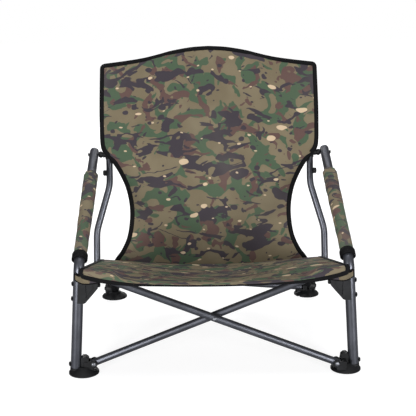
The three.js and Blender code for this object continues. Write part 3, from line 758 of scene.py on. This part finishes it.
def seat_half_width(y):
    flap = 0.0015 * (1 - smooth(y, -0.026, SEAT_TOP_Y))
    if y < WING_Y:
        return remap(y, 0, WING_Y, SEAT_FRONT_X, SEAT_WING_X) + flap
    return remap(y, WING_Y, seat_rear_y(0.256) + MIDDLE_Y, SEAT_WING_X, SEAT_REAR_X)


def seat_point(u, v):
    row = v * SEAT_ROWS
    if row < HEM_ROWS:
        y = table_curve([(a, b) for a, b, _ in FRONT_ROWS], row)
        roll = table_curve([(a, c) for a, _, c in FRONT_ROWS], row)
    else:
        y = remap(row, HEM_ROWS, SEAT_ROWS, SEAT_TOP_Y, SEAT_BACK_Y)
        roll = 1.0
    x = u * seat_half_width(y)
    t = (y - SEAT_TOP_Y) / (SEAT_BACK_Y - SEAT_TOP_Y)
    middle = mix(SEAT_MIDDLE_Z, SEAT_REAR_Z, t) - 0.010 * math.sin(math.pi * max(t, 0))
    if y < WING_Y:
        edge = remap(y, 0, WING_Y, SEAT_CORNER_Z, WING_Z)
    else:
        edge = remap(y, WING_Y, SEAT_BACK_Y, WING_Z, seat_rear_z(SEAT_REAR_X))
    rise = 1.7 * u**2 - 0.7 * u**4
    top = middle + (edge - middle) * rise
    front = SEAT_MIDDLE_Z + (SEAT_CORNER_Z + 0.004 - SEAT_MIDDLE_Z) * rise
    low = max(0.0, front - hem_z(x) - 0.004) * (1 - smooth(abs(x), 0.205, 0.240))
    top -= low * (1 - smooth(y, SEAT_TOP_Y, 0.075))
    end = smooth(t, 0.93, 1)
    z = mix(mix(hem_z(x), top, roll), seat_rear_z(x), end)
    inner = (1 - end) * smooth(row, 1.0, 4.0) * smooth(1 - abs(u), 0.0, 0.12)
    ripple = 0.0022 * wobble((x, y * 3.4, 0), 0.13, 5.0) + 0.0009 * wobble((x, y * 3.0, 0), 0.04, 11.0)
    pull = 0.0016 * math.sin(y * 150 + 3 * x) * smooth(abs(x), 0.19, 0.27) * smooth(y, 0.0, 0.03)
    pull *= smooth(0.20 - y, 0.0, 0.1)
    shape_y = mix(y - MIDDLE_Y, seat_rear_y(x), end)
    return Vector((x, shape_y, z + (ripple + pull) * inner))


def seat_cut(u, v):
    row = v * SEAT_ROWS
    if row < HEM_ROWS:
        y = SEAT_TOP_Y - (HEM_ROWS - row) * 0.018
    else:
        y = remap(row, HEM_ROWS, SEAT_ROWS, SEAT_TOP_Y, SEAT_BACK_Y)
    return (u * 0.303, 0.65 - 1.03 * y)


def sheet_normal(place, u, v):
    e = 0.002
    u0, v0 = clamp(u, -1 + e, 1 - e), clamp(v, e, 1 - e)
    along_u = place(u0 + e, v0) - place(u0 - e, v0)
    along_v = place(u0, v0 + e) - place(u0, v0 - e)
    return along_u.cross(along_v).normalized()


def bind_edge(
    name, place, path, body, half_width, inset, half_thickness=0.0023, spacing=0.006, steps=24, shown=None
):
    """Binding tape folded round a sheet's edge. path lists the corners of the edge as (u, v), each side
    is followed in that many steps, and inset moves the tape in from it. shown(point), where given, is
    the share of the tape's width that lies on the face there."""
    marks = []
    for (u0, v0), (u1, v1) in zip(path, path[1:]):
        marks += [(mix(u0, u1, k / steps), mix(v0, v1, k / steps)) for k in range(steps)]
    marks = [(place(u, v), sheet_normal(place, u, v)) for u, v in (*marks, path[-1])]
    points = resampled([point for point, _ in marks], spacing)
    route, normals, widths = [], [], []
    for i, point in enumerate(points):
        _, normal = min(marks, key=lambda mark: (mark[0] - point).length_squared)
        across = normal.cross(tangent_at(points, i)).normalized()
        share = shown(point) if shown else 1.0
        route.append(point + across * (inset * share))
        normals.append(normal)
        widths.append(share)
    mesh = swept_mesh(name, route, normals, tape_section(half_width, half_thickness), widths)
    return new_piece(mesh, body, "binding_tape")


def padding_profile(length, inner):
    """The arm padding as a turned form: out from the tube, along its outside and back in."""
    profile = [(0.0, inner)]
    for k in range(PAD_RINGS + 1):
        t = k / PAD_RINGS
        left = min(t, 1 - t) * length / SLEEVE_END_R
        full = math.sqrt(1 - (1 - min(left, 1)) ** 2)
        profile.append((length * t, mix(inner + 0.0012, sleeve_radius(t) - 0.0014, full)))
    return [*profile, (length, inner)]


def plumped(piece, cap, start, axis, inner):
    """Swells closed padding under gentle pressure, moves no point further than cap and keeps it off
    the tube."""
    scene = bpy.context.scene
    before = [v.co.copy() for v in piece.data.vertices]
    cloth = piece.modifiers.new("padding", "CLOTH")
    cloth.settings.use_pressure = True
    cloth.settings.uniform_pressure_force = PAD_PRESSURE
    cloth.settings.effector_weights.gravity = 0.0
    cloth.point_cache.frame_start = 1
    cloth.point_cache.frame_end = PAD_FRAMES
    for step in range(1, PAD_FRAMES + 1):
        scene.frame_set(step)
    shape = piece.evaluated_get(bpy.context.evaluated_depsgraph_get())
    after = [v.co.copy() for v in shape.data.vertices]
    piece.modifiers.remove(cloth)
    scene.frame_set(1)
    for vertex, a, b in zip(piece.data.vertices, before, after):
        swell = b - a
        if swell.length > cap:
            swell *= cap / swell.length
        p = a + swell
        foot = start + axis * (p - start).dot(axis)
        spoke = p - foot
        if spoke.length < inner:
            p = foot + spoke.normalized() * inner
        vertex.co = p
    piece.data.update()


def crease_padding(mesh, start, axis, right, up, length, side, inner):
    """Gathers at the rear end, slack lower down and a seam along the underside, and the layer that
    lays the cloth out flat."""
    places = []
    for vertex in mesh.vertices:
        offset = vertex.co - start
        along = offset.dot(axis)
        t = along / length
        spoke = offset - axis * along
        angle = math.atan2(spoke.dot(up), spoke.dot(right))
        places.append((angle + (2 * math.pi if angle < -math.pi / 2 else 0), t * length))
        if spoke.length < inner + 0.0008:
            continue
        gather = smooth(t, 0.86, 0.97) * 0.0010 * math.sin(angle * 9 + 2 * wobble((t, 0, side), 0.05))
        slack = 0.0012 * wobble((spoke.x * 2, spoke.y * 2, t * length + side), 0.032, 4.0)
        seam = -0.0012 * math.exp(-(((angle + math.pi / 2) / 0.07) ** 2))
        ends = smooth(t, 0.0, 0.03) * smooth(1 - t, 0.0, 0.01)
        girth = max(inner, spoke.length + (gather + slack + seam) * ends)
        girth = min(girth, sleeve_radius(t) + 0.0010)
        vertex.co = start + axis * along + spoke.normalized() * girth
    layer = mesh.uv_layers.new(name="cut")
    for loop in mesh.loops:
        angle, along = places[loop.vertex_index]
        layer.data[loop.index].uv = (2.0 + side * 0.4 + angle * SLEEVE_REAR_R, along)


def cuff_mesh(name, start, axis, right, up, inner):
    """A wide cuff round the front of the arm padding, turned in over its end."""
    spokes = [spoke_at(right, up, 2 * math.pi * k / 48) for k in range(49)]
    ring_r = SLEEVE_FRONT_R + 0.0004
    route = [start + axis * (CUFF_WIDTH / 2 - 0.0006) + spoke * ring_r for spoke in spokes]
    half, lip = CUFF_WIDTH / 2, inner + 0.0003 - ring_r
    section = [
        (half - 0.0012, lip), (half, lip), (half, 0.0002), (half - 0.0008, 0.0010),
        (0.0005 - half, 0.0010), (-half, 0.0), (0.0005 - half, -0.0010), (half - 0.0012, -0.0010),
    ]
    return swept_mesh(name, route, spokes, section)


def bend_round(mesh, side):
    for vertex in mesh.vertices:
        vertex.co = round_bend(vertex.co, side)
    mesh.update()


# Settings


def paint(name, description, *screen):
    """A colour to choose, with its default as red, green and blue from 0 to 255."""
    return bpy.props.FloatVectorProperty(
        name=name, description=description, size=4, subtype="COLOR", default=colour(*screen), min=0, max=1
    )


class ChairColours(bpy.types.PropertyGroup):
    """Colours of the cloth, tape, steel, plastic and floor"""

    ground: paint("Cloth ground", "Khaki under the print", 113, 103, 83)
    green: paint("Cloth green", "Green blots of the print", 74, 91, 72)
    brown: paint("Cloth brown", "Red-brown blots of the print", 94, 74, 70)
    dark: paint("Cloth dark", "Dark blots, strips and spots of the print", 64, 59, 65)
    pale: paint("Cloth pale", "Pale drops of the print", 198, 176, 147)
    tape: paint("Tape", "Black binding tape", 12, 12, 13)
    steel: paint("Steel", "Powder coat of the tubes", 88, 90, 97)
    plastic: paint("Plastic", "Feet, gussets, caps and collars", 15, 16, 18)
    screw: paint("Screws", "Black screw and bolt heads", 34, 34, 37)
    rivet: paint("Rivets", "Plated rivet heads", 112, 114, 119)
    floor: paint("Floor", "Floor under the chair", 146, 146, 148)


def measure(name, description, default, low, high, unit="LENGTH"):
    """A size to choose, in metres where the unit is a length."""
    return bpy.props.FloatProperty(
        name=name, description=description, default=default, min=low, max=high, unit=unit
    )


class ChairSizes(bpy.types.PropertyGroup):
    """Sizes of the cloth parts, the floor and the camera's lens"""

    cloth_thickness: measure("Cloth thickness", "Thickness of the sling cloth", 0.0016, 0.0005, 0.003)
    tape_width: measure("Tape width", "Width of the binding tape on each face", 0.0130, 0.006, 0.02)
    padding: measure("Arm padding", "How far the arm sleeves may swell", 0.0022, 0.0, 0.004)
    floor_size: measure("Floor size", "Half width of the studio floor", 9.0, 2.0, 30.0)
    camera_lens: measure("Lens", "Focal length of the camera", 83.77, 20, 200, "CAMERA")


# Operators, one for each piece or group of like pieces


class CHAIR_OT_back(bpy.types.Operator):
    """Make the sling back and its binding"""

    bl_idname = "chair.back"
    bl_label = "Back sling"

    def execute(self, context):
        sizes = context.scene.chair_sizes
        cloth = new_piece(grid_mesh("back_cloth", 120, 112, back_point, back_cut), "left_frame")
        add_modifier(cloth, "cloth", "SOLIDIFY", thickness=sizes.cloth_thickness, offset=1.0)
        half = sizes.tape_width / 2
        tape = bind_edge(
            "back_binding", back_point, [(-1, 0), (-1, 1), (1, 1), (1, 0)], "left_frame",
            half, TAPE_OVERHANG - half, steps=LONG_EDGE_STEPS,
        )
        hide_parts("back_sling")
        for piece in (cloth, tape):
            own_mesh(piece)
        return {"FINISHED"}


class CHAIR_OT_seat(bpy.types.Operator):
    """Make the sling seat and its binding"""

    bl_idname = "chair.seat"
    bl_label = "Seat sling"

    def execute(self, context):
        sizes = context.scene.chair_sizes
        cloth = new_piece(grid_mesh("seat_cloth", 120, 98, seat_point, seat_cut), "seat")
        add_modifier(cloth, "cloth", "SOLIDIFY", thickness=sizes.cloth_thickness, offset=-1.0)
        half = sizes.tape_width * 0.4

        def shown(point):
            """The hem rolls under towards the middle of the seat."""
            front = smooth(-0.015 - MIDDLE_Y - point.y, -0.012, 0.0)
            return 1 - 0.62 * front * (1 - smooth(abs(point.x), 0.10, 0.28))

        tape = bind_edge(
            "seat_binding", seat_point, [(1, SEAT_TAPE_END), (1, 0), (-1, 0), (-1, SEAT_TAPE_END)], "seat",
            half, half - TAPE_OVERHANG, 0.0015, steps=LONG_EDGE_STEPS, shown=shown,
        )
        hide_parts("seat_sling")
        for piece in (cloth, tape):
            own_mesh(piece)
        return {"FINISHED"}


class CHAIR_OT_seat_corners(bpy.types.Operator):
    """Make the bands of the seat that wrap the front legs"""

    bl_idname = "chair.seat_corners"
    bl_label = "Seat corners"

    def execute(self, context):
        sizes = context.scene.chair_sizes
        edges = (  # x, depth, lower height and upper height at five places round the leg
            (0.260, 0.280, 0.298, 0.311, 0.3205),
            (-0.0298, -0.0305, -0.0285, -0.0205, -0.0130),
            (0.2335, 0.2305, 0.2290, 0.2305, 0.2345),
            (hem_z(0.260), hem_z(0.280), 0.2500, 0.2468, 0.2515),
        )
        for name, side in SIDES:
            def band(u, v):
                x, y, low, high = (table_curve(list(enumerate(edge)), (u + 1) * 2) for edge in edges)
                z = mix(low, high - 0.0005, v)
                bulge = 0.0010 * math.sin(math.pi * v) + 0.0005 * wobble((x, y, z), 0.012, side)
                return Vector((side * x, y - MIDDLE_Y - bulge, z))

            def band_cut(u, v):
                return (0.9 + u * 0.035, 0.3 + v * 0.020)

            mesh = grid_mesh(f"{name}_seat_band", 20, 10, band, band_cut)
            if side < 0:
                mesh.flip_normals()
            piece = new_piece(mesh, f"{name}_frame")
            add_modifier(piece, "cloth", "SOLIDIFY", thickness=sizes.cloth_thickness, offset=-1.0)
            path = [(-1, 0.6), (-1, 0), (1, 0), (1, 1), (0.2, 1)]
            tape = bind_edge(
                f"{name}_seat_band_binding", band, path, f"{name}_frame", 0.0016, 0.0, half_thickness=0.0013,
                spacing=0.003,
            )
            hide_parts(f"{name}_seat_corner")
        return {"FINISHED"}


class CHAIR_OT_back_sleeves(bpy.types.Operator):
    """Make the cloth channels that slide over the back posts"""

    bl_idname = "chair.back_sleeves"
    bl_label = "Back sleeves"

    def execute(self, context):
        sizes = context.scene.chair_sizes
        for name, side in SIDES:
            low, high = post_at(PIVOT.z + 0.017, side), post_at(POST_TOP_Z + 0.010, side)
            axis = (high - low).normalized()
            right = Vector((0, 1, 0)).cross(axis).normalized()
            front = axis.cross(right).normalized()
            length = (high - low).length

            def channel(u, v):
                angle = math.pi * u
                close = 1 - 0.55 * smooth(v, 0.955, 1.0) ** 2
                radius = (BACK_SLEEVE_R - 0.0005 + 0.0004 * wobble((side, angle, v * 9), 0.8, 2.0)) * close
                p = low + axis * (length * v)
                return p + right * (radius * math.sin(angle)) + front * (radius * math.cos(angle))

            def channel_cut(u, v):
                return (1.4 + 0.3 * side + u * 0.035, v * length)

            mesh = grid_mesh(f"{name}_back_channel", 32, 40, channel, channel_cut)
            piece = new_piece(mesh, f"{name}_frame")
            add_modifier(piece, "seam", "WELD", merge_threshold=0.0002)
            add_modifier(piece, "cloth", "SOLIDIFY", thickness=sizes.cloth_thickness * 0.5, offset=-1.0)
            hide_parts(f"{name}_back_sleeve")
        return {"FINISHED"}


class CHAIR_OT_arm_sleeves(bpy.types.Operator):
    """Make the padded sleeves of the arms and their cuffs"""

    bl_idname = "chair.arm_sleeves"
    bl_label = "Arm sleeves"

    def execute(self, context):
        sizes = context.scene.chair_sizes
        inner = ARM_TUBE_R + PAD_CLEARANCE
        for name, side in SIDES:
            start, end = arm_at(SLEEVE_FRONT, side), arm_at(SLEEVE_REAR, side)
            axis = (end - start).normalized()
            length = (end - start).length
            right = axis.cross(Vector((0, 0, 1))).normalized()
            up = right.cross(axis).normalized()
            mesh = turned_mesh(
                f"{name}_arm_padding", start, axis, right, up, padding_profile(length, inner),
                PAD_AROUND, closed=True,
            )
            piece = new_piece(mesh, f"{name}_frame")
            plumped(piece, sizes.padding, start, axis, inner)
            crease_padding(mesh, start, axis, right, up, length, side, inner)
            bend_round(mesh, side)
            mesh.validate()
            add_modifier(piece, "soft", "SUBSURF", levels=1, render_levels=1)
            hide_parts(f"{name}_arm_sleeve")

            mesh = cuff_mesh(f"{name}_arm_cuff", start, axis, right, up, inner)
            bend_round(mesh, side)
            new_piece(mesh, f"{name}_frame", "binding_tape")
        return {"FINISHED"}


class CHAIR_OT_knobs(bpy.types.Operator):
    """Make the knobs over the post studs, the rail pins' heads and the rear feet's outer bosses"""

    bl_idname = "chair.knobs"
    bl_label = "Knobs"

    def execute(self, context):
        for name, side in SIDES:
            stud = post_at(STUD_Z, side) + Vector((side * STUD_REACH, 0, 0))
            pin = Vector((side * PIN_X, PIN_Y - MIDDLE_Y, PIN_Z))
            foot = Vector((side * BOSS_PLACE[0], *BOSS_PLACE[1:]))
            turned = (
                ("stud_knob", stud, side, STUD_KNOB),
                ("rail_pin_head", pin, -side, PIN_HEAD),
                ("foot_boss", foot, side, FOOT_BOSS),
            )
            for label, start, way, profile in turned:
                axis = Vector((way, 0, 0))
                right = axis.orthogonal().normalized()
                mesh = turned_mesh(f"{name}_{label}", start, axis, right, axis.cross(right), profile)
                piece = new_piece(mesh, f"{name}_frame", "black_plastic")
                add_modifier(piece, "edges", "EDGE_SPLIT", split_angle=math.radians(50))
        return {"FINISHED"}


class CHAIR_OT_tip_loops(bpy.types.Operator):
    """Make the webbing loops under the seat that hold the rear braces' upper ends"""

    bl_idname = "chair.tip_loops"
    bl_label = "Tip loops"

    def execute(self, context):
        for name, side in SIDES:
            tip = Vector((side * (REAR_TIP.x - LOOP_INSET), *REAR_TIP.yz)) - REAR_TIP_SHIFT * side
            ends = []
            for reach in (-LOOP_REACH, LOOP_REACH):
                y = tip.y + MIDDLE_Y + reach
                under = seat_point(tip.x / seat_half_width(y), seat_share(y))
                ends.append(Vector((tip.x, under.y, under.z - 0.0022)))
            bow = [
                tip + Vector((0, math.sin(a), -math.cos(a))) * LOOP_BOW_R
                for a in (math.pi * (k / 10 - 1) / 2 * 1.1 for k in range(21))
            ]
            down = [mix(ends[0], bow[0], k / 6) for k in range(6)]
            back_up = [mix(bow[-1], ends[1], k / 6) for k in range(1, 7)]
            route = resampled(down + bow + back_up, 0.003)
            across = Vector((1, 0, 0))
            normals = [tangent_at(route, i).cross(across).normalized() for i in range(len(route))]
            mesh = swept_mesh(f"{name}_tip_loop", route, normals, tape_section(0.014, 0.0006))
            loop = new_piece(mesh, "seat", "binding_tape")
            length = sum((b - a).length for a, b in zip(route, route[1:]))
            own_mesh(loop)
        return {"FINISHED"}


class CHAIR_OT_steelwork(bpy.types.Operator):
    """Finish the tubes, fittings, screws and rivets of the frame"""

    bl_idname = "chair.steelwork"
    bl_label = "Steel and fittings"

    def execute(self, context):
        slots = {part["node"]: part["material_slot"] for part in frame["record"]["subparts"]}
        for name, piece in frame["nodes"].items():
            if piece.hide_render or slots[name] == CLOTH_SLOT:
                continue
            finish = finish_of(slots[name])
            if not piece.material_slots:
                piece.data.materials.append(finish)
            for place in piece.material_slots:
                place.material = finish
            piece.data.polygons.foreach_set("use_smooth", [True] * len(piece.data.polygons))
            add_modifier(piece, "weld", "WELD", merge_threshold=0.00002)
            add_modifier(piece, "edges", "EDGE_SPLIT", split_angle=math.radians(38))
        return {"FINISHED"}


class CHAIR_OT_stage(bpy.types.Operator):
    """Set the floor, lamps, world and camera"""

    bl_idname = "chair.stage"
    bl_label = "Stage"

    def execute(self, context):
        scene = context.scene
        size = scene.chair_sizes.floor_size
        mesh = grid_mesh(
            "floor", 24, 24, lambda u, v: (u * size, (2 * v - 1) * size, 0.0), lambda u, v: (u, v),
        )
        floor = new_object("floor", mesh)
        floor.location = (0, 0, -FLOOR_DROP)
        dress(floor, "floor")

        scene.world = bpy.data.worlds.new("studio")
        sky = Recipe(scene.world, "ShaderNodeOutputWorld")
        seen = sky.node("ShaderNodeLightPath").outputs
        shown = sky.maths("MAXIMUM", seen["Is Camera Ray"], seen["Is Transmission Ray"])
        soft = sky.node("ShaderNodeBackground", {"Color": WHITE, "Strength": SOFT_LIGHT}).outputs[0]
        plain = sky.node("ShaderNodeBackground", {"Color": WHITE, "Strength": 1.0}).outputs[0]
        both = sky.node("ShaderNodeMixShader", {0: shown, 1: soft, 2: plain}).outputs[0]
        sky.feed(sky.output, "Surface", both)

        for name, place, shape, power in LAMPS:
            data = bpy.data.lights.new(name, "AREA")
            data.shape = "RECTANGLE"
            data.size, data.size_y = shape
            data.energy = power
            lamp = new_object(name, data)
            lamp.location = place
            lamp.rotation_euler = (LAMP_AIM - Vector(place)).to_track_quat("-Z", "Y").to_euler()

        data = bpy.data.cameras.new("camera")
        data.lens = scene.chair_sizes.camera_lens
        data.sensor_width = SENSOR_WIDTH
        camera = new_object("camera", data)
        yaw, pitch, roll = map(math.radians, CAMERA_TURN)
        camera.matrix_world = (
            Matrix.Translation(CAMERA_PLACE) @ Matrix.Rotation(yaw, 4, "Z")
            @ Matrix.Rotation(math.pi / 2 - pitch, 4, "X") @ Matrix.Rotation(roll, 4, "Z")
        )
        scene.camera = camera
        scene.view_settings.view_transform = "Standard"
        return {"FINISHED"}


class CHAIR_PT_sidebar(bpy.types.Panel):
    """Lists the chair's pieces and settings"""

    bl_idname = "CHAIR_PT_sidebar"
    bl_label = "Folding chair"
    bl_space_type = "VIEW_3D"
    bl_region_type = "UI"
    bl_category = "Chair"

    def draw(self, context):
        column = self.layout.column()
        for settings in (context.scene.chair_sizes, context.scene.chair_colours):
            for key in settings.__annotations__:
                column.prop(settings, key)
        for operator in OPERATORS:
            column.operator(operator.bl_idname)


OPERATORS = (
    CHAIR_OT_stage,
    CHAIR_OT_back,
    CHAIR_OT_seat,
    CHAIR_OT_seat_corners,
    CHAIR_OT_back_sleeves,
    CHAIR_OT_arm_sleeves,
    CHAIR_OT_knobs,
    CHAIR_OT_tip_loops,
    CHAIR_OT_steelwork,
)
CLASSES = (ChairColours, ChairSizes, *OPERATORS, CHAIR_PT_sidebar)


def register():
    for cls in CLASSES:
        bpy.utils.register_class(cls)
    bpy.types.Scene.chair_colours = bpy.props.PointerProperty(type=ChairColours)
    bpy.types.Scene.chair_sizes = bpy.props.PointerProperty(type=ChairSizes)


def unregister():
    del bpy.types.Scene.chair_sizes
    del bpy.types.Scene.chair_colours
    for cls in reversed(CLASSES):
        bpy.utils.unregister_class(cls)


def main():
    register()
    bpy.ops.chair.stage()
    bpy.ops.chair.back()
    bpy.ops.chair.seat()
    bpy.ops.chair.seat_corners()
    bpy.ops.chair.back_sleeves()
    bpy.ops.chair.arm_sleeves()
    bpy.ops.chair.knobs()
    bpy.ops.chair.tip_loops()
    bpy.ops.chair.steelwork()
    bpy.context.view_layer.update()


if __name__ == "__main__":
    main()
